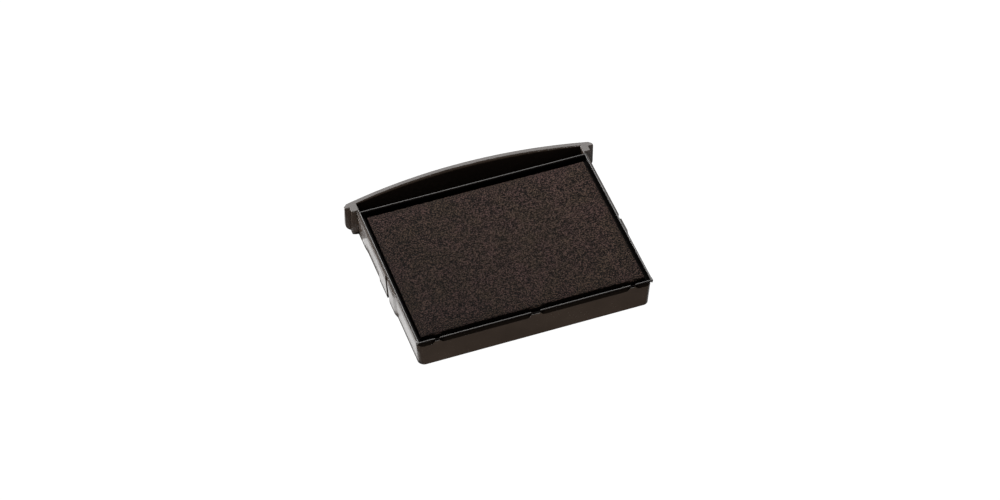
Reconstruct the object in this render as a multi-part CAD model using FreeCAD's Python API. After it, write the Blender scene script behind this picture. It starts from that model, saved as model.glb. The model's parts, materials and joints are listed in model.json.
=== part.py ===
import FreeCAD, Part
import math
import os

from FreeCAD import Vector

# A replacement ink pad for a self-inking stamp: a moulded carrier that slides into the stamp, and a
# snapped-in cup that holds the inked core under its fabric cover.
# Frame: X across, -Y the end that goes into the stamp first, +Y the curved finger pull, Z up.
# The origin is on the underside, below the middle of the pad.

# Overall
HEIGHT = 10.6                 # underside to rim
BAY_WIDTH = 73.7              # between the inner faces of the lip
BAY_DEPTH = 56.0
POCKET_DEPTH = 6.76           # finger pocket, front to back at its middle
PULL_RADIUS = 169.0           # outer face of the finger pull

# Cup
CUP_WALL = 0.30               # also the width of the lip that shows all round the pad
SIDE_SHELF = 1.00             # the cup's wall steps in by this below the lip at both sides
FRONT_SLOPE = 0.90            # and leans in by this at the front
RIM_DEPTH = 2.20              # rim to the underside of the shelf
SHELF_THICK = 0.60
CUP_FLOOR = 0.60
LIP_FACE = 0.25               # upright part of the front lip
FRONT_CORNER_TAB = 0.30       # the front lip reaches this far past the cup at each end
CORNER_TAB_DEPTH = 1.15
CORNER_TAB_FACE = 0.60
CORNER_TAB_SLOPE = 0.80       # below its face the tab leans back in to the cup
NOTCH_WIDTHS = (1.6, 3.0, 1.6)
NOTCH_INSET = 5.8             # middle of an end notch from the side of the bay
NOTCH_DEPTH = 1.0
LIP_ROUND = 0.08

# Fits
SLIP = 0.06                   # clearance between the cup and the carrier
SOFT_GAP = 0.35               # pad to the cup's side walls
END_GAP = 2.0                 # pad to the lip at the front and the back

# Carrier
FLOOR = 1.20
FRONT_WALL = 1.02
SIDE_WALL = 0.64
CROSS_WALL = 1.05             # between the bay and the finger pocket
PULL_WALL = 1.50
SIDE_DRAFT = 0.50             # the lower walls widen by this from the underside to the shelf
FRONT_DRAFT = 0.08
CORNER_RADIUS = 2.1
LEDGE_DROP = 0.30             # inner edge of the side rails below the rim
LEDGE_SLOPE = 0.25            # the rails' tops fall by this share of their width towards the outside
TOP_ROUND = 0.22
RAIL_ROUND = 0.12

# Side steps: how far each stretch stands out from the front stretch, and where each begins along Y
RAIL_OUT = 0.60               # front stretch of the rail over the foot of the wall below it
REAR_OUT = 0.45
WAIST_OUT = 0.20
BUMP_OUT = 0.45
RAIL_REAR_OUT = 0.92
RAIL_MID_OUT = 1.00
RAMP_REAR = 22.9
RAMP_FRONT = 20.1
BUMP_REAR = 8.3
GAP_REAR = 0.9                # square-ended gap in the rail
GAP_FRONT = -1.1
STEP_REAR = -6.2
STEP_FRONT = -7.8

# Ears at the rear corners
EAR_OUT = 4.05                # past the side wall
EAR_STEP_OUT = 2.45
EAR_TIP_DEPTH = 1.89          # front of the tip to the pull's curve
EAR_STEP_DEPTH = 1.90         # and the step in front of that
EAR_FOOT_RADIUS = 3.6
EAR_TIP_ROUND = 1.0

# Tongues on the front wall that hold the leaning front of the cup
TONGUE_THICK = 0.25
TONGUE_SPREAD = 0.9           # each side, from the tip to the root
TONGUE_RISE = 1.0

# Inked core
PAD_WIDTH = BAY_WIDTH - 2 * SIDE_SHELF - 2 * SOFT_GAP
PAD_DEPTH = BAY_DEPTH - 2 * END_GAP
PAD_BELOW_RIM = 0.20
FABRIC = 0.40
FELT = 1.50
HEM = 5.0
ADHESIVE = 0.10
PAD_CORNER = 0.8

# Places worked out from the sizes above
BAY_X = BAY_WIDTH / 2
BAY_Y = BAY_DEPTH / 2
SHELF_Z = HEIGHT - RIM_DEPTH
LEDGE_Z = HEIGHT - LEDGE_DROP
CUP_X = BAY_X - SIDE_SHELF + CUP_WALL            # outer faces of the cup below its shelf
CUP_FRONT = BAY_Y - FRONT_SLOPE
CUP_BACK = BAY_Y + CUP_WALL
CUP_BASE = FLOOR + SLIP
WELL_X = CUP_X + SLIP                            # the carrier's bay round them
WELL_FRONT = CUP_FRONT + SLIP
WELL_BACK = CUP_BACK + SLIP
BODY_X = WELL_X + SIDE_WALL
BODY_FRONT = WELL_FRONT + FRONT_WALL
REBATE_X = BAY_X + CUP_WALL + SLIP
REBATE_Z = SHELF_Z - SLIP
POCKET_FRONT = WELL_BACK + CROSS_WALL
PULL_REACH = POCKET_FRONT + POCKET_DEPTH + PULL_WALL
ARC_CENTRE = PULL_REACH - PULL_RADIUS
EAR_HALF = BODY_X + EAR_OUT
EAR_STEP = BODY_X + EAR_STEP_OUT
EAR_TIP_X = EAR_HALF - EAR_TIP_ROUND
EAR_BACK = ARC_CENTRE + math.sqrt(PULL_RADIUS * PULL_RADIUS - EAR_TIP_X * EAR_TIP_X)
EAR_OUTER_FRONT = EAR_BACK - EAR_TIP_DEPTH
EAR_INNER_FRONT = EAR_OUTER_FRONT - EAR_STEP_DEPTH
NOTCH_PITCH = BAY_X - NOTCH_INSET
LIP_FRONT = BAY_Y + CUP_WALL
RAIL_FRONT = LIP_FRONT - CORNER_TAB_DEPTH - SLIP  # the rails stop short of the lip's corner tabs
TONGUE_FACE = BODY_FRONT + FRONT_DRAFT                 # flush with the top of the front wall
CUP_INSIDE = CUP_BASE + CUP_FLOOR
GLUE_TOP = CUP_INSIDE + ADHESIVE
HEM_TOP = GLUE_TOP + FABRIC
PAD_TOP = HEIGHT - PAD_BELOW_RIM
FELT_TOP = PAD_TOP - FABRIC
FOAM_TOP = FELT_TOP - FELT
TINY = 0.001
TALL = HEIGHT + 5.0                              # clears everything above the rim


def box(x0, x1, y0, y1, z0, z1):
    return Part.makeBox(x1 - x0, y1 - y0, z1 - z0, Vector(x0, y0, z0))


def prism(points, z0, z1):
    """A polygon in XY raised from z0 to z1."""
    corners = [Vector(x, y, z0) for x, y in points]
    return Part.Face(Part.makePolygon(corners + corners[:1])).extrude(Vector(0, 0, z1 - z0))


def side_prism(points, y0, y1):
    """A polygon in XZ run from y0 to y1."""
    corners = [Vector(x, y0, z) for x, z in points]
    return Part.Face(Part.makePolygon(corners + corners[:1])).extrude(Vector(0, y1 - y0, 0))


def end_prism(points, half):
    """A polygon in YZ run from -half to half along X."""
    corners = [Vector(-half, y, z) for y, z in points]
    return Part.Face(Part.makePolygon(corners + corners[:1])).extrude(Vector(2 * half, 0, 0))


def rounded_block(width, depth, radius, z0, z1):
    """An upright block about the Z axis with rounded corners."""
    block = box(-width / 2, width / 2, -depth / 2, depth / 2, z0, z1)
    upright = [e for e in block.Edges if e.BoundBox.ZLength > (z1 - z0) / 2]
    return block.makeFillet(radius, upright)


def rounded(shape, radius, wanted):
    """The shape with every edge that wanted() picks rounded."""
    return shape.makeFillet(radius, [e for e in shape.Edges if wanted(e.BoundBox)])


def mirrored(shape):
    return shape.mirror(Vector(0, 0, 0), Vector(1, 0, 0))


def both_sides(shape):
    return [shape, mirrored(shape)]


def arc_y(x, radius):
    """Y of a circle about the finger pull's centre."""
    return ARC_CENTRE + math.sqrt(radius * radius - x * x)


def arc_prism(half, y_front, radius, z0, z1):
    """A block |X| < half from y_front back to the finger pull's curve of that radius."""
    side = arc_y(half, radius)
    right_front = Vector(half, y_front, z0)
    left_front = Vector(-half, y_front, z0)
    right_back = Vector(half, side, z0)
    left_back = Vector(-half, side, z0)
    middle = Vector(0, ARC_CENTRE + radius, z0)
    edges = [
        Part.LineSegment(left_front, right_front).toShape(),
        Part.LineSegment(right_front, right_back).toShape(),
        Part.Arc(right_back, middle, left_back).toShape(),
        Part.LineSegment(left_back, left_front).toShape(),
    ]
    return Part.Face(Part.Wire(edges)).extrude(Vector(0, 0, z1 - z0))


def wall_stations(share):
    """The lower wall's outline on the right, from the front corner to the ear, at a share of its draft."""
    x = BODY_X + share * SIDE_DRAFT
    return [
        (x, STEP_FRONT),
        (x + BUMP_OUT, STEP_REAR),
        (x + BUMP_OUT, GAP_FRONT),
        (x, GAP_FRONT),
        (x, GAP_REAR),
        (x + BUMP_OUT, GAP_REAR),
        (x + BUMP_OUT, BUMP_REAR),
        (x + WAIST_OUT, BUMP_REAR),
        (x + WAIST_OUT, RAMP_FRONT),
        (x + REAR_OUT, RAMP_REAR),
        (x + REAR_OUT, EAR_INNER_FRONT),
    ]


def wall_wire(z, share):
    """The outline of the carrier below the rails, with rounded front corners and the curved back."""
    x = BODY_X + share * SIDE_DRAFT
    y = -BODY_FRONT - share * FRONT_DRAFT
    r = CORNER_RADIUS
    stations = wall_stations(share)
    back_x = stations[-1][0]
    diagonal = r * (1 - math.sqrt(0.5))
    right = [Vector(px, py, z) for px, py in [(x, y + r)] + stations]
    right.append(Vector(back_x, arc_y(back_x, PULL_RADIUS), z))
    left = [Vector(-v.x, v.y, v.z) for v in reversed(right)]
    edges = [Part.LineSegment(Vector(r - x, y, z), Vector(x - r, y, z)).toShape()]
    edges.append(Part.Arc(Vector(x - r, y, z), Vector(x - diagonal, y + diagonal, z), right[0]).toShape())
    edges += [Part.LineSegment(a, b).toShape() for a, b in zip(right, right[1:])]
    edges.append(Part.Arc(right[-1], Vector(0, PULL_REACH, z), left[0]).toShape())
    edges += [Part.LineSegment(a, b).toShape() for a, b in zip(left, left[1:])]
    edges.append(Part.Arc(left[-1], Vector(diagonal - x, y + diagonal, z), Vector(r - x, y, z)).toShape())
    return Part.Wire(edges)


def on_rail(bounds):
    """True for the rail's outer top edges."""
    return bounds.ZMin > REBATE_Z + TINY and bounds.XMin > BODY_X + SIDE_DRAFT + TINY


def rails():
    """The upper band of both side walls, in one level run apart from its gap and its step."""
    x = BODY_X
    right = [
        (x + RAIL_OUT, -RAIL_FRONT),
        (x + RAIL_OUT, STEP_FRONT),
        (x + RAIL_MID_OUT, STEP_REAR),
        (x + RAIL_MID_OUT, GAP_FRONT),
        (x + SIDE_DRAFT, GAP_FRONT),
        (x + SIDE_DRAFT, GAP_REAR),
        (x + RAIL_REAR_OUT, GAP_REAR),
        (x + RAIL_REAR_OUT, EAR_INNER_FRONT),
        (0, EAR_INNER_FRONT),
        (0, -RAIL_FRONT),
    ]
    above = [
        (REBATE_X, LEDGE_Z),
        (REBATE_X + BAY_WIDTH, LEDGE_Z - LEDGE_SLOPE * BAY_WIDTH),
        (REBATE_X + BAY_WIDTH, TALL),
        (REBATE_X, TALL),
    ]
    band = prism(right, REBATE_Z, LEDGE_Z).cut(side_prism(above, -BAY_DEPTH, BAY_DEPTH))
    inner = box(-1, REBATE_X, -BAY_DEPTH, WELL_BACK, 0, TALL)
    return rounded(band, RAIL_ROUND, on_rail).cut(inner)


def ear():
    """The right ear: a stepped slab as tall as the carrier, its foot rounded off at the outside."""
    root = BODY_X
    plan = [
        (root, EAR_INNER_FRONT),
        (EAR_STEP, EAR_INNER_FRONT),
        (EAR_STEP, EAR_OUTER_FRONT),
        (EAR_HALF, EAR_OUTER_FRONT),
        (EAR_HALF, EAR_BACK - EAR_TIP_ROUND),
        (EAR_TIP_X, EAR_BACK),
        (root, arc_y(root, PULL_RADIUS)),
    ]
    slab = prism(plan, 0, HEIGHT)
    r = EAR_FOOT_RADIUS
    corner = box(EAR_HALF - r, EAR_HALF + 1, EAR_INNER_FRONT - 1, PULL_REACH, -1, r)
    disc = Part.makeCylinder(r, PULL_REACH, Vector(EAR_HALF - r, EAR_INNER_FRONT - 2, r), Vector(0, 1, 0))
    return slab.cut(corner.cut(disc))


def tongue(x, width):
    """A tongue on the front wall's top edge below a notch of the lip, wider at its root."""
    tip = width / 2
    root = tip + TONGUE_SPREAD
    top = REBATE_Z + TONGUE_RISE
    outline = [(x + root, REBATE_Z), (x + tip, top), (x - tip, top), (x - root, REBATE_Z)]
    return side_prism(outline, -TONGUE_FACE, -TONGUE_FACE + TONGUE_THICK)


def notches():
    """Middle and width of each notch in the front lip."""
    return [((i - 1) * NOTCH_PITCH, width) for i, width in enumerate(NOTCH_WIDTHS)]


def carrier_tray():
    lower = Part.makeLoft([wall_wire(0, 0), wall_wire(REBATE_Z, 1)], True, True)
    rear_half = BODY_X + REAR_OUT
    rear = arc_prism(rear_half, WELL_BACK, PULL_RADIUS, 0, HEIGHT)
    solid = lower.fuse([rear] + both_sides(rails()) + both_sides(ear()))
    well = box(-WELL_X, WELL_X, -WELL_FRONT, WELL_BACK, FLOOR, TALL)
    rebate = box(-REBATE_X, REBATE_X, -BAY_DEPTH, WELL_BACK, REBATE_Z, TALL)
    pocket = arc_prism(BAY_X, POCKET_FRONT, PULL_RADIUS - PULL_WALL, FLOOR, TALL)
    over_cross_wall = box(-BAY_X, BAY_X, WELL_BACK - 1, POCKET_FRONT + 1, REBATE_Z, TALL)
    solid = solid.cut([well, rebate, pocket, over_cross_wall])
    solid = solid.fuse([tongue(x, width) for x, width in notches()]).removeSplitter()
    return rounded(solid, TOP_ROUND, lambda bounds: bounds.ZMin > HEIGHT - TINY)


def cup_block(wall, base, shelf, tall, lean_top):
    """A block with the cup's shape, its faces moved in by wall: the cup is one of these less another."""
    side = [
        (CUP_X - wall, base),
        (CUP_X - wall, shelf),
        (BAY_X + CUP_WALL - wall, shelf),
        (BAY_X + CUP_WALL - wall, tall),
    ]
    across = side + [(-x, z) for x, z in reversed(side)]
    along = [
        (wall - CUP_FRONT, base),
        (wall - CUP_FRONT, SHELF_Z),
        (wall - LIP_FRONT, lean_top),
        (wall - LIP_FRONT, tall),
        (CUP_BACK - wall, tall),
        (CUP_BACK - wall, base),
    ]
    return side_prism(across, -BAY_DEPTH, BAY_DEPTH).common(end_prism(along, BAY_WIDTH))


def corner_tab():
    """The end of the front lip on the right, which covers the front end of the rail."""
    x = BAY_X + CUP_WALL
    out = x + FRONT_CORNER_TAB
    face = HEIGHT - CORNER_TAB_FACE
    outline = [
        (x - CUP_WALL, HEIGHT),
        (out, HEIGHT),
        (out, face),
        (x, face - CORNER_TAB_SLOPE),
        (x - CUP_WALL, face),
    ]
    return side_prism(outline, -LIP_FRONT, -LIP_FRONT + CORNER_TAB_DEPTH)


def pad_cup():
    outer = cup_block(0, CUP_BASE, SHELF_Z, HEIGHT, HEIGHT - LIP_FACE)
    inner = cup_block(CUP_WALL, CUP_INSIDE, SHELF_Z + SHELF_THICK, TALL, HEIGHT - LIP_FACE)
    solid = outer.fuse(both_sides(corner_tab())).cut(inner)
    for x, width in notches():
        gap = box(x - width / 2, x + width / 2, -BAY_DEPTH, -CUP_FRONT, HEIGHT - NOTCH_DEPTH, TALL)
        solid = solid.cut(gap)
    return rounded(solid.removeSplitter(), LIP_ROUND, lambda bounds: bounds.ZMin > HEIGHT - TINY)


def cavity(z0, z1):
    """The space inside the fabric cover between two heights."""
    corner = max(PAD_CORNER - FABRIC, FABRIC / 2)
    return rounded_block(PAD_WIDTH - 2 * FABRIC, PAD_DEPTH - 2 * FABRIC, corner, z0, z1)


def hem_opening(z0, z1):
    """The space inside the hem that is turned under the foam."""
    return box(HEM - PAD_WIDTH / 2, PAD_WIDTH / 2 - HEM, HEM - PAD_DEPTH / 2, PAD_DEPTH / 2 - HEM, z0, z1)


def fabric_cover():
    """Woven cover drawn over the felt, down the sides and under the foam's edge."""
    skin = rounded_block(PAD_WIDTH, PAD_DEPTH, PAD_CORNER, GLUE_TOP, PAD_TOP)
    return skin.cut([cavity(HEM_TOP, FELT_TOP), hem_opening(GLUE_TOP, HEM_TOP)])


def foam_reservoir():
    """Ink-holding foam, relieved underneath for the hem."""
    return cavity(HEM_TOP, FOAM_TOP).fuse(hem_opening(GLUE_TOP, HEM_TOP)).removeSplitter()


shapes = {
    "carrier_tray": carrier_tray(),
    "pad_cup": pad_cup(),
    "adhesive_sheet": rounded_block(PAD_WIDTH, PAD_DEPTH, PAD_CORNER, CUP_INSIDE, GLUE_TOP),
    "foam_reservoir": foam_reservoir(),
    "transfer_felt": cavity(FOAM_TOP, FELT_TOP),
    "fabric_cover": fabric_cover(),
}

os.makedirs("parts", exist_ok=True)
for name, shape in shapes.items():
    shape.exportStep("parts/" + name + ".step")
    print(name, len(shape.Solids), shape.isValid(), round(shape.Volume, 2))
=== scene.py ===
import json
import math

import bmesh
import bpy
from mathutils import Matrix, Vector, noise

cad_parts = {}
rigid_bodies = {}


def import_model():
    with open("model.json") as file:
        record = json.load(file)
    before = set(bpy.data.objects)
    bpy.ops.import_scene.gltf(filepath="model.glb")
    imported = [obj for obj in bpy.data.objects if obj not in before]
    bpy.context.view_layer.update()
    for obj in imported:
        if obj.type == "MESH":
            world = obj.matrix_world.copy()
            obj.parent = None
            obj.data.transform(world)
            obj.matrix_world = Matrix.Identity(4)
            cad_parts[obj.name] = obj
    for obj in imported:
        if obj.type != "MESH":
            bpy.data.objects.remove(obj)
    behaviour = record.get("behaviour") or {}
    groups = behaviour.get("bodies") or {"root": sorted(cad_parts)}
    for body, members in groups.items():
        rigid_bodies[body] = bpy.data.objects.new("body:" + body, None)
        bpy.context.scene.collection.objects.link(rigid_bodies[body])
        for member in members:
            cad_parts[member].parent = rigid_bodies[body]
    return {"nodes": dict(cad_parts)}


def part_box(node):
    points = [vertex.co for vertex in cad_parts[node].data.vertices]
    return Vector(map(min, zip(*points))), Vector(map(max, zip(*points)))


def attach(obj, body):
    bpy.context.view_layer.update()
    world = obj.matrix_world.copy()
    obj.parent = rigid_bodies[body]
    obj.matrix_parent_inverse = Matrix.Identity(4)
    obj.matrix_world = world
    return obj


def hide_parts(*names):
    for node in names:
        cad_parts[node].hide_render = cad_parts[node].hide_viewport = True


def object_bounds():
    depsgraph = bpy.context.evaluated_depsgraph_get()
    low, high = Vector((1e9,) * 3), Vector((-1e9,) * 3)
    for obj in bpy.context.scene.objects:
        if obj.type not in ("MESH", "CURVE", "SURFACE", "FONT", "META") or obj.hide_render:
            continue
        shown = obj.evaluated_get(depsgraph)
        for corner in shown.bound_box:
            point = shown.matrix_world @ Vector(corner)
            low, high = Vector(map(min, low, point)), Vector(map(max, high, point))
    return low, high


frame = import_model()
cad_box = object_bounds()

scene = bpy.context.scene

# ---------------------------------------------------------------- studio
# The cartridge lies on a white sheet, seen from its front left and well above, through a long lens.
# Black plastic shows what it mirrors, so the lights and the cards stand where its faces mirror them:
# behind it for the tops, and on the sheet beside it for the walls.
looked_at = Vector((-0.00177, -0.00125, 0.0106))
camera = bpy.data.objects.new("camera", bpy.data.cameras.new("camera"))
camera.data.lens = 109.8
camera.data.sensor_width = 36.0
camera.location = (-0.2140, -0.5907, 0.6919)
camera.rotation_mode = "QUATERNION"
camera.rotation_quaternion = (looked_at - camera.location).to_track_quat("-Z", "Y")
scene.collection.objects.link(camera)
scene.camera = camera
scene.view_settings.view_transform = "Standard"


def wire(tree, outlet, inlet):
    tree.links.new(outlet, inlet)


def new_material(name):
    material = bpy.data.materials.new(name)
    material.use_nodes = True
    material.node_tree.nodes.clear()
    return material, material.node_tree


def studio_sheet():
    """The sheet is lit and shaded for the object, and plain white to the eye."""
    material, tree = new_material("studio_sheet")
    node = tree.nodes.new
    paper = node("ShaderNodeBsdfDiffuse")
    paper.inputs["Color"].default_value = (0.80, 0.80, 0.80, 1)
    white = node("ShaderNodeEmission")
    white.inputs["Strength"].default_value = 1.05
    path = node("ShaderNodeLightPath")
    mix = node("ShaderNodeMixShader")
    out = node("ShaderNodeOutputMaterial")
    wire(tree, path.outputs["Is Camera Ray"], mix.inputs["Fac"])
    wire(tree, paper.outputs["BSDF"], mix.inputs[1])
    wire(tree, white.outputs["Emission"], mix.inputs[2])
    wire(tree, mix.outputs["Shader"], out.inputs["Surface"])
    return material


def flat_sheet(name, left, right, near, far, height, material):
    """A level sheet that is part of the studio, not of the object."""
    mesh = bmesh.new()
    bmesh.ops.create_grid(mesh, x_segments=1, y_segments=1, size=0.5)
    bmesh.ops.scale(mesh, vec=(right - left, far - near, 1), verts=mesh.verts)
    bmesh.ops.translate(mesh, vec=((left + right) / 2, (near + far) / 2, height), verts=mesh.verts)
    sheet = bpy.data.objects.new(name, bpy.data.meshes.new(name))
    mesh.to_mesh(sheet.data)
    mesh.free()
    sheet.data.materials.append(material)
    scene.collection.objects.link(sheet)
    return sheet


def dark_flag(name, left, right, near, far):
    """A dark card that lies on the sheet beside the object, out of sight. The walls that mirror it look
    darker, and in front of the object it is painted shade in place of the object's shadow on the sheet.
    """
    shade = 0.04
    thickness = 0.00001
    material, tree = new_material(name)
    card = tree.nodes.new("ShaderNodeBsdfDiffuse")
    card.inputs["Color"].default_value = (shade, shade, shade, 1)
    out = tree.nodes.new("ShaderNodeOutputMaterial")
    wire(tree, card.outputs["BSDF"], out.inputs["Surface"])
    flag = flat_sheet(name, left, right, near, far, thickness, material)
    flag.visible_camera = False


def louvre_light(name, left, ends, far):
    """A low row of upright strips that glow to the front and are black behind. The side wall mirrors
    their glow, and the ears' fronts mirror their backs. Each of ends is a Y and where the strips from
    there on end along X, just clear of the object's side."""
    spacing = 0.0012
    tall = 0.0015
    material, tree = new_material(name)
    glow = tree.nodes.new("ShaderNodeEmission")
    glow.inputs["Strength"].default_value = 1.65
    back = tree.nodes.new("ShaderNodeBsdfDiffuse")
    back.inputs["Color"].default_value = (0.02, 0.02, 0.02, 1)
    side = tree.nodes.new("ShaderNodeNewGeometry")
    mix = tree.nodes.new("ShaderNodeMixShader")
    out = tree.nodes.new("ShaderNodeOutputMaterial")
    wire(tree, side.outputs["Backfacing"], mix.inputs["Fac"])
    wire(tree, glow.outputs["Emission"], mix.inputs[1])
    wire(tree, back.outputs["BSDF"], mix.inputs[2])
    wire(tree, mix.outputs["Shader"], out.inputs["Surface"])
    mesh = bmesh.new()
    near = ends[0][0]
    for i in range(round((far - near) / spacing)):
        y = near + i * spacing
        end = [x for start, x in ends if y >= start][-1]
        corners = [(left, y, 0), (end, y, 0), (end, y, tall), (left, y, tall)]
        mesh.faces.new([mesh.verts.new(corner) for corner in corners])
    row = bpy.data.objects.new(name, bpy.data.meshes.new(name))
    mesh.to_mesh(row.data)
    mesh.free()
    row.data.materials.append(material)
    row.visible_camera = False
    scene.collection.objects.link(row)


def softbox(name, place, width, height, power):
    """A glowing rectangle that is turned to face the object."""
    light = bpy.data.objects.new(name, bpy.data.lights.new(name, "AREA"))
    light.data.shape = "RECTANGLE"
    light.data.size = width
    light.data.size_y = height
    light.data.energy = power
    light.location = place
    light.rotation_mode = "QUATERNION"
    light.rotation_quaternion = (-Vector(place)).to_track_quat("-Z", "Y")
    scene.collection.objects.link(light)


world = bpy.data.worlds.new("studio")
world.use_nodes = True
world.node_tree.nodes["Background"].inputs["Color"].default_value = (1, 1, 1, 1)
world.node_tree.nodes["Background"].inputs["Strength"].default_value = 0.12
scene.world = world

sheet_reach = 3.0
sheet_height = -0.00002
flat_sheet("floor", -sheet_reach, sheet_reach, -sheet_reach, sheet_reach, sheet_height, studio_sheet())

cards_near = -0.200
louvre_left = -0.0404
ears_near = 0.0265
ear_side = cad_box[0][0] - 0.0002
side_ends = [(-0.0300, -0.0371), (-0.0080, -0.0375)]
ear_ends = [(0.0270, ear_side), (0.0345, -0.0375)]
# Painted shade: front_flag stands in for the shadow that the object casts on the sheet in front of it,
# which its front wall mirrors.
dark_flag("front_flag", left=-0.080, right=0.080, near=cards_near, far=-0.0284)
louvre_light("left_louvre", left=louvre_left, ends=side_ends, far=ears_near)
louvre_light("ear_louvre", left=-0.070, ends=ear_ends, far=0.0600)
dark_flag("left_flag", left=-0.090, right=louvre_left, near=cards_near, far=ears_near)
softbox("back_softbox", place=(0.23, 0.64, 0.74), width=0.8, height=0.5, power=8.5)
softbox("left_softbox", place=(-0.68, 0.64, 0.34), width=0.4, height=0.6, power=20.0)
softbox("front_softbox", place=(-0.30, -0.90, 0.10), width=0.9, height=0.08, power=8.5)

# ---------------------------------------------------------------- carrier
# The tray that slides into the stamp: one injection moulding in black polystyrene, with stepped rails,
# two ears and a curved finger pull. Use has drawn fine scuffs along it. The mould's ejector pins have
# left round marks in its floor and its underside, and the gate has left a dimple under its middle.


def moulded_plastic(name, colour, rough):
    """Black moulded polystyrene: slightly uneven tone and gloss, a faint peel and fine scuffs."""
    material, tree = new_material(name)
    node = tree.nodes.new
    place = node("ShaderNodeTexCoord")
    flow = node("ShaderNodeTexNoise")
    flow.inputs["Scale"].default_value = 90.0
    flow.inputs["Detail"].default_value = 6.0
    wire(tree, place.outputs["Object"], flow.inputs["Vector"])
    tone = node("ShaderNodeMix")
    tone.data_type = "RGBA"
    tone.inputs["A"].default_value = [c * 0.7 for c in colour] + [1]
    tone.inputs["B"].default_value = [c * 1.35 for c in colour] + [1]
    wire(tree, flow.outputs["Fac"], tone.inputs["Factor"])
    drawn_out = node("ShaderNodeMapping")
    drawn_out.inputs["Scale"].default_value = (1500.0, 60.0, 1500.0)
    wire(tree, place.outputs["Object"], drawn_out.inputs["Vector"])
    scuffs = node("ShaderNodeTexNoise")
    scuffs.inputs["Scale"].default_value = 1.0
    scuffs.inputs["Detail"].default_value = 4.0
    wire(tree, drawn_out.outputs["Vector"], scuffs.inputs["Vector"])
    dulled = node("ShaderNodeMapRange")
    dulled.inputs["From Min"].default_value = 0.55
    dulled.inputs["From Max"].default_value = 0.75
    dulled.inputs["To Min"].default_value = 0.0
    dulled.inputs["To Max"].default_value = 0.05
    wire(tree, scuffs.outputs["Fac"], dulled.inputs["Value"])
    gloss = node("ShaderNodeMapRange")
    gloss.inputs["To Min"].default_value = rough * 0.75
    gloss.inputs["To Max"].default_value = rough * 1.35
    wire(tree, flow.outputs["Fac"], gloss.inputs["Value"])
    worn = node("ShaderNodeMath")
    worn.operation = "ADD"
    wire(tree, gloss.outputs["Result"], worn.inputs[0])
    wire(tree, dulled.outputs["Result"], worn.inputs[1])
    peel = node("ShaderNodeTexNoise")
    peel.inputs["Scale"].default_value = 700.0
    peel.inputs["Detail"].default_value = 3.0
    wire(tree, place.outputs["Object"], peel.inputs["Vector"])
    bump = node("ShaderNodeBump")
    bump.inputs["Strength"].default_value = 0.12
    bump.inputs["Distance"].default_value = 0.0001
    wire(tree, peel.outputs["Fac"], bump.inputs["Height"])
    plastic = node("ShaderNodeBsdfPrincipled")
    plastic.inputs["IOR"].default_value = 1.36
    wire(tree, tone.outputs["Result"], plastic.inputs["Base Color"])
    wire(tree, worn.outputs["Value"], plastic.inputs["Roughness"])
    wire(tree, bump.outputs["Normal"], plastic.inputs["Normal"])
    out = node("ShaderNodeOutputMaterial")
    wire(tree, plastic.outputs["BSDF"], out.inputs["Surface"])
    return material


def copy_of_node(node_name):
    """A clean copy of a CAD node's mesh, with its flat faces joined up, ready to be worked on."""
    mesh = bmesh.new()
    mesh.from_mesh(frame["nodes"][node_name].data)
    bmesh.ops.remove_doubles(mesh, verts=mesh.verts, dist=0.000002)
    bmesh.ops.dissolve_limit(mesh, angle_limit=math.radians(0.5), verts=mesh.verts, edges=mesh.edges)
    return mesh


def finish_piece(mesh, name, material, body, slot_name, *replaced):
    """Turns a finished mesh into a piece of the object, which rides on a body and stands for nodes."""
    data = bpy.data.meshes.new(name)
    mesh.to_mesh(data)
    mesh.free()
    data.materials.clear()
    data.materials.append(material)
    piece = bpy.data.objects.new(name, data)
    scene.collection.objects.link(piece)
    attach(piece, body)
    if replaced:
        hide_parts(*replaced)
    return piece


def soften(piece):
    """Rounds the piece's sharp edges a little, as a mould does, and keeps its flat faces flat."""
    bevel = piece.modifiers.new("edges", "BEVEL")
    bevel.width = 0.00004
    bevel.segments = 3
    bevel.limit_method = "ANGLE"
    bevel.angle_limit = math.radians(25.0)
    bevel.use_clamp_overlap = False
    for face in piece.data.polygons:
        face.use_smooth = True
    flat = piece.modifiers.new("flat_faces", "WEIGHTED_NORMAL")
    flat.mode = "FACE_AREA"
    flat.weight = 100


def sink_marks(piece, marks):
    """Cuts shallow round marks. Each has a place on the surface, a radius and a depth, which is
    negative where the mark goes down into a floor and positive where it goes up into an underside."""
    overshoot = 0.0004
    mesh = bmesh.new()
    for place, radius, depth in marks:
        height = abs(depth) + overshoot
        middle = (depth - math.copysign(overshoot, depth)) / 2
        made = bmesh.ops.create_cone(mesh, cap_ends=True, segments=48, radius1=radius, radius2=radius,
                                     depth=height)
        bmesh.ops.translate(mesh, vec=Vector(place) + Vector((0, 0, middle)), verts=made["verts"])
    cutter = bpy.data.objects.new("pins", bpy.data.meshes.new("pins"))
    mesh.to_mesh(cutter.data)
    mesh.free()
    scene.collection.objects.link(cutter)
    cut = piece.modifiers.new("pins", "BOOLEAN")
    cut.operation = "DIFFERENCE"
    cut.solver = "EXACT"
    cut.object = cutter
    marked = bpy.data.meshes.new_from_object(piece.evaluated_get(bpy.context.evaluated_depsgraph_get()))
    piece.modifiers.remove(cut)
    piece.data = marked
    bpy.data.objects.remove(cutter)


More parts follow.
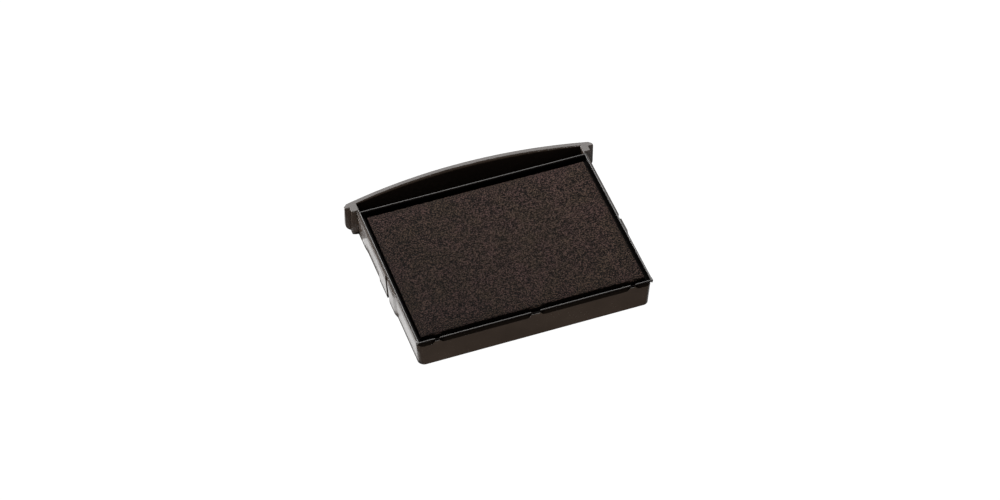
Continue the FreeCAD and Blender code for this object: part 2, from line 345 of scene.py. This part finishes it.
carrier_black = moulded_plastic("carrier_black", colour=(0.036, 0.026, 0.020), rough=0.22)
carrier = finish_piece(copy_of_node("carrier_tray"), "carrier", carrier_black, "carrier", "carrier_plastic",
                       "carrier_tray")
pin_spots = [(x, y) for x in (-0.027, 0.0, 0.027) for y in (-0.019, 0.019)]
cup_clearance = 0.00006
tray_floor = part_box("pad_cup")[0].z - cup_clearance
floor_mark_radius = 0.0022
floor_mark_depth = -0.00010
underside_mark_radius = 0.0030
underside_mark_depth = 0.00012
gate_radius = 0.0020
gate_depth = 0.00030
floor_marks = [((x, y, tray_floor), floor_mark_radius, floor_mark_depth) for x, y in pin_spots]
underside_marks = [((x, y, 0.0), underside_mark_radius, underside_mark_depth) for x, y in pin_spots]
gate_mark = [((0.0, 0.0, 0.0), gate_radius, gate_depth)]
sink_marks(carrier, floor_marks + underside_marks + gate_mark)
soften(carrier)

# ---------------------------------------------------------------- cup
# The thin-walled cup that holds the inked core: a second moulding in the same black polystyrene. Its
# front leans in below the lip, and three notches in the lip sit over the carrier's tongues. Its inside
# and shelf are painted darker than the lip, partly as dried ink and partly as painted shade in the gap
# beside the pad, and its leaning front is darkened as painted shade under the lip.


def ink_and_painted_shade():
    """The dark dull finish of the cup's inside and leaning front: partly dried ink, a little thicker here
    and there, and partly painted shade in the gap beside the pad and under the lip.
    """
    material, tree = new_material("ink_and_painted_shade")
    node = tree.nodes.new
    place = node("ShaderNodeTexCoord")
    drops = node("ShaderNodeTexNoise")
    drops.inputs["Scale"].default_value = 400.0
    tone = node("ShaderNodeMix")
    tone.data_type = "RGBA"
    tone.inputs["A"].default_value = (0.0010, 0.0006, 0.0005, 1)
    tone.inputs["B"].default_value = (0.0035, 0.0022, 0.0018, 1)
    ink = node("ShaderNodeBsdfPrincipled")
    ink.inputs["Roughness"].default_value = 0.75
    ink.inputs["Specular IOR Level"].default_value = 0.06
    out = node("ShaderNodeOutputMaterial")
    wire(tree, place.outputs["Object"], drops.inputs["Vector"])
    wire(tree, drops.outputs["Fac"], tone.inputs["Factor"])
    wire(tree, tone.outputs["Result"], ink.inputs["Base Color"])
    wire(tree, ink.outputs["BSDF"], out.inputs["Surface"])
    return material


def is_inked_or_painted_shade(face, middle, rim):
    """True for the cup's inside and shelf, dark partly from dried ink and partly as painted shade, and for
    its leaning front, which is painted shade under the lip.
    """
    clean_band = 0.00005
    shelf_drop = 0.0008
    if face.center.z > rim - clean_band:
        return False
    inward = (face.center - middle).to_2d().dot(face.normal.to_2d()) < -0.0001
    shelf_or_floor = face.normal.z > 0.9 and face.center.z < rim - shelf_drop
    leaning_front = face.normal.y < -0.5 and face.normal.z < -0.1
    return inward or shelf_or_floor or leaning_front


cup_low, cup_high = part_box("pad_cup")
cup_middle = (cup_low + cup_high) / 2
cup_black = moulded_plastic("cup_black", colour=(0.014, 0.0105, 0.008), rough=0.16)
cup = finish_piece(copy_of_node("pad_cup"), "cup", cup_black, "pad_insert", "cup_plastic", "pad_cup")
# Painted shade: the faces picked below get the dark material, which stands partly for dried ink and partly
# for shade in the gap and under the lip.
cup.data.materials.append(ink_and_painted_shade())
for face in cup.data.polygons:
    face.material_index = int(is_inked_or_painted_shade(face, cup_middle, cup_high.z))
soften(cup)

# ---------------------------------------------------------------- inked core
# Under the cover lie an adhesive film, a block of soft foam that stores the ink and a sheet of felt
# that levels its flow. They are cut to the cover's inside and don't show when the pad is whole.


def mottled(name, dark, light, feature, rough, bump_depth, sheen, painted_light_dir=None):
    """A soaked textile: two sizes of mottling in its colour, with the finer one as relief too. Its
    colour can grow lighter along a given vector, as painted light, lighter where the lamps light it more."""
    material, tree = new_material(name)
    node = tree.nodes.new
    place = node("ShaderNodeTexCoord")
    nap = node("ShaderNodeTexNoise")
    nap.inputs["Scale"].default_value = 1 / feature
    nap.inputs["Detail"].default_value = 1.0
    nap.inputs["Roughness"].default_value = 0.6
    wire(tree, place.outputs["Object"], nap.inputs["Vector"])
    patch = node("ShaderNodeTexNoise")
    patch.inputs["Scale"].default_value = 0.06 / feature
    patch.inputs["Detail"].default_value = 3.0
    wire(tree, place.outputs["Object"], patch.inputs["Vector"])
    sharp = node("ShaderNodeMapRange")
    sharp.inputs["From Min"].default_value = 0.45
    sharp.inputs["From Max"].default_value = 0.63
    wire(tree, nap.outputs["Fac"], sharp.inputs["Value"])
    tone = node("ShaderNodeMix")
    tone.data_type = "RGBA"
    tone.inputs["A"].default_value = (*dark, 1)
    tone.inputs["B"].default_value = (*light, 1)
    wire(tree, sharp.outputs["Result"], tone.inputs["Factor"])
    tint = node("ShaderNodeValToRGB")
    tint.color_ramp.elements[0].position = 0.36
    tint.color_ramp.elements[0].color = (0.90, 0.96, 0.86, 1)
    tint.color_ramp.elements[1].position = 0.64
    tint.color_ramp.elements[1].color = (1.08, 1.02, 1.12, 1)
    wire(tree, patch.outputs["Fac"], tint.inputs["Fac"])
    dye = node("ShaderNodeMix")
    dye.data_type = "RGBA"
    dye.blend_type = "MULTIPLY"
    dye.inputs["Factor"].default_value = 1.0
    wire(tree, tone.outputs["Result"], dye.inputs["A"])
    wire(tree, tint.outputs["Color"], dye.inputs["B"])
    dye_with_painted_light = dye
    # Painted light: the colour grows lighter along the given vector, towards the side the lamps light more.
    if painted_light_dir:
        along = node("ShaderNodeVectorMath")
        along.operation = "DOT_PRODUCT"
        along.inputs[1].default_value = painted_light_dir
        wire(tree, place.outputs["Object"], along.inputs[0])
        fade = node("ShaderNodeMapRange")
        fade.inputs["From Min"].default_value = -1.0
        fade.inputs["From Max"].default_value = 1.0
        fade.inputs["To Min"].default_value = 0.68
        fade.inputs["To Max"].default_value = 1.32
        wire(tree, along.outputs["Value"], fade.inputs["Value"])
        dye_with_painted_light = node("ShaderNodeMix")
        dye_with_painted_light.data_type = "RGBA"
        dye_with_painted_light.blend_type = "MULTIPLY"
        dye_with_painted_light.inputs["Factor"].default_value = 1.0
        wire(tree, dye.outputs["Result"], dye_with_painted_light.inputs["A"])
        wire(tree, fade.outputs["Result"], dye_with_painted_light.inputs["B"])
    relief = node("ShaderNodeBump")
    relief.inputs["Strength"].default_value = 1.0
    relief.inputs["Distance"].default_value = bump_depth
    wire(tree, nap.outputs["Fac"], relief.inputs["Height"])
    cloth = node("ShaderNodeBsdfPrincipled")
    cloth.inputs["Roughness"].default_value = rough
    cloth.inputs["Specular IOR Level"].default_value = 0.08
    cloth.inputs["Sheen Weight"].default_value = sheen
    cloth.inputs["Sheen Roughness"].default_value = 0.45
    cloth.inputs["Sheen Tint"].default_value = (1.0, 0.84, 0.76, 1)
    wire(tree, dye_with_painted_light.outputs["Result"], cloth.inputs["Base Color"])
    wire(tree, relief.outputs["Normal"], cloth.inputs["Normal"])
    out = node("ShaderNodeOutputMaterial")
    wire(tree, cloth.outputs["BSDF"], out.inputs["Surface"])
    return material


def soft_block(low, high, pitch, radius):
    """A block with rounded edges, cut into squares fine enough to be shaped. The cuts leave its faces
    in an order that changes from run to run, so they are sorted, and the cloth always comes out alike."""
    mesh = bmesh.new()
    bmesh.ops.create_cube(mesh, size=1)
    bmesh.ops.scale(mesh, vec=high - low, verts=mesh.verts)
    bmesh.ops.translate(mesh, vec=(low + high) / 2, verts=mesh.verts)
    bmesh.ops.bevel(mesh, geom=mesh.edges[:], offset=radius, offset_type="OFFSET", affect="EDGES",
                    segments=2, profile=0.5, material=-1)
    for axis in range(3):
        normal = Vector((axis == 0, axis == 1, axis == 2))
        start, stop = low[axis] + radius, high[axis] - radius
        steps = max(2, round((stop - start) / pitch))
        for i in range(1, steps):
            cut = Vector((0, 0, 0))
            cut[axis] = start + (stop - start) * i / steps
            bmesh.ops.bisect_plane(mesh, geom=mesh.verts[:] + mesh.edges[:] + mesh.faces[:],
                                   dist=0.000001, plane_co=cut, plane_no=normal)
    sweep = Vector((1.0, 0.3719, 0.1327))
    mesh.faces.sort(key=lambda face: face.calc_center_median().dot(sweep))
    return mesh


def finish_soft(mesh, name, material, body, slot_name, fill, *replaced):
    """Turns a finished mesh into a padded piece with a smooth surface."""
    piece = finish_piece(mesh, name, material, body, slot_name, *replaced)
    for face in piece.data.polygons:
        face.use_smooth = True
    return piece


def adhesive_film():
    """Milky double-sided film with faint ripples in its tone."""
    material, tree = new_material("adhesive_film")
    place = tree.nodes.new("ShaderNodeTexCoord")
    ripple = tree.nodes.new("ShaderNodeTexNoise")
    ripple.inputs["Scale"].default_value = 300.0
    tone = tree.nodes.new("ShaderNodeMix")
    tone.data_type = "RGBA"
    tone.inputs["A"].default_value = (0.30, 0.28, 0.23, 1)
    tone.inputs["B"].default_value = (0.40, 0.38, 0.33, 1)
    film = tree.nodes.new("ShaderNodeBsdfPrincipled")
    film.inputs["Roughness"].default_value = 0.35
    out = tree.nodes.new("ShaderNodeOutputMaterial")
    wire(tree, place.outputs["Object"], ripple.inputs["Vector"])
    wire(tree, ripple.outputs["Fac"], tone.inputs["Factor"])
    wire(tree, tone.outputs["Result"], film.inputs["Base Color"])
    wire(tree, film.outputs["BSDF"], out.inputs["Surface"])
    return material


film_node = frame["nodes"]["adhesive_sheet"]
film_node.data.materials.clear()
film_node.data.materials.append(adhesive_film())

# Slack keeps the soft pieces off their neighbours, and the foam stays clear of the hem below it.
slack = Vector((0.00025, 0.00025, 0.00005))
fabric_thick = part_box("fabric_cover")[1].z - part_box("transfer_felt")[1].z
hem_room = Vector((0, 0, fabric_thick))
foam_low, foam_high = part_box("foam_reservoir")
foam_black = mottled("foam_black", dark=(0.004, 0.003, 0.003), light=(0.020, 0.015, 0.013),
                     feature=0.0006, rough=0.8, bump_depth=0.0002, sheen=0.1)
foam_body = soft_block(foam_low + slack + hem_room, foam_high - slack, pitch=0.002, radius=0.0006)
finish_soft(foam_body, "foam_core", foam_black, "pad_insert", "inked_foam", 0.8, "foam_reservoir")

felt_low, felt_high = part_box("transfer_felt")
felt_black = mottled("felt_black", dark=(0.005, 0.004, 0.004), light=(0.022, 0.016, 0.014),
                     feature=0.0003, rough=0.9, bump_depth=0.0001, sheen=0.3)
felt_body = soft_block(felt_low + slack, felt_high - slack, pitch=0.002, radius=0.0004)
finish_soft(felt_body, "felt_layer", felt_black, "pad_insert", "inked_felt", 0.9, "transfer_felt")

# ---------------------------------------------------------------- fabric cover
# A brushed textile soaked with black-brown ink, drawn tight over the felt and turned under the foam,
# where the adhesive film holds its hem. Its nap gives it a dull, finely mottled face.


def swell(piece, most):
    """Presses the cover out from inside like taut cloth, and lets no point move further than most. The
    cloth is simulated at ten times its size, and its hem is held."""
    enlarge = 10.0
    frames = 20
    hem_height = 0.0012
    rest = [v.co.copy() for v in piece.data.vertices]
    held = piece.vertex_groups.new(name="held")
    bottom = min(p.z for p in rest)
    held.add([i for i, p in enumerate(rest) if p.z < bottom + hem_height], 1.0, "REPLACE")
    parent = piece.parent
    piece.parent = None
    piece.data.transform(Matrix.Scale(enlarge, 4))
    cloth = piece.modifiers.new("cloth", "CLOTH")
    cloth.settings.use_pressure = True
    cloth.settings.uniform_pressure_force = 4.0
    cloth.settings.vertex_group_mass = "held"
    cloth.settings.effector_weights.gravity = 0.0
    cloth.point_cache.frame_start = 1
    cloth.point_cache.frame_end = frames
    for frame_number in range(1, frames + 1):
        scene.frame_set(frame_number)
    shaped = piece.evaluated_get(bpy.context.evaluated_depsgraph_get())
    moved = [v.co / enlarge for v in shaped.data.vertices]
    piece.modifiers.remove(cloth)
    scene.frame_set(1)
    for vertex, was, now in zip(piece.data.vertices, rest, moved):
        shift = now - was
        if shift.length > most:
            shift *= most / shift.length
        vertex.co = was + shift
    piece.parent = parent
    piece.vertex_groups.clear()


def brush_up(piece, feature, depth):
    """Subdivides the cover and raises its nap in small tufts, about one feature across."""
    fine = piece.modifiers.new("fine", "SUBSURF")
    fine.levels = fine.render_levels = 2
    smooth = bpy.data.meshes.new_from_object(piece.evaluated_get(bpy.context.evaluated_depsgraph_get()))
    piece.modifiers.remove(fine)
    normals = [v.normal.copy() for v in smooth.vertices]
    for vertex, normal in zip(smooth.vertices, normals):
        vertex.co += normal * depth * noise.noise(vertex.co / feature)
    piece.data = smooth


def spread(mesh, above, left, right, front):
    """Lets the cover's top spread over the cup's shelf: above a height, its left, right and front
    edges move out by the widths given."""
    middle_x = sum(v.co.x for v in mesh.verts) / len(mesh.verts)
    half_x = max(v.co.x for v in mesh.verts) - middle_x
    near = min(v.co.y for v in mesh.verts)
    for vertex in mesh.verts:
        if vertex.co.z < above:
            continue
        across = (vertex.co.x - middle_x) / half_x
        vertex.co.x += right * max(across, 0) - left * max(-across, 0)
        vertex.co.y -= front * max(vertex.co.y / near, 0)


# Painted light: the cover's colour is lighter towards its back right, where the lamps light it more.
ink_velvet = mottled("ink_velvet", dark=(0.0006, 0.0003, 0.0002), light=(0.0585, 0.0358, 0.0284),
                     feature=0.00038, rough=0.9, bump_depth=0.00050, sheen=0.04, painted_light_dir=(18.0, 16.0, 0.0))
cover_low, cover_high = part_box("fabric_cover")
side_ease = Vector((0.0002, 0.0002, 0))
top_ease = Vector((0, 0, 0.00012))
spread_height = 0.0012
cover_shape = soft_block(cover_low + side_ease, cover_high - side_ease - top_ease, pitch=0.0015,
                         radius=0.00030)
spread(cover_shape, above=cover_high.z - spread_height, left=0.0003, right=0.0005, front=0.0004)
cover = finish_soft(cover_shape, "pad_cover", ink_velvet, "pad_insert", "inked_fabric", 0.9, "fabric_cover")
swell(cover, most=0.00018)
brush_up(cover, feature=0.0009, depth=0.00002)
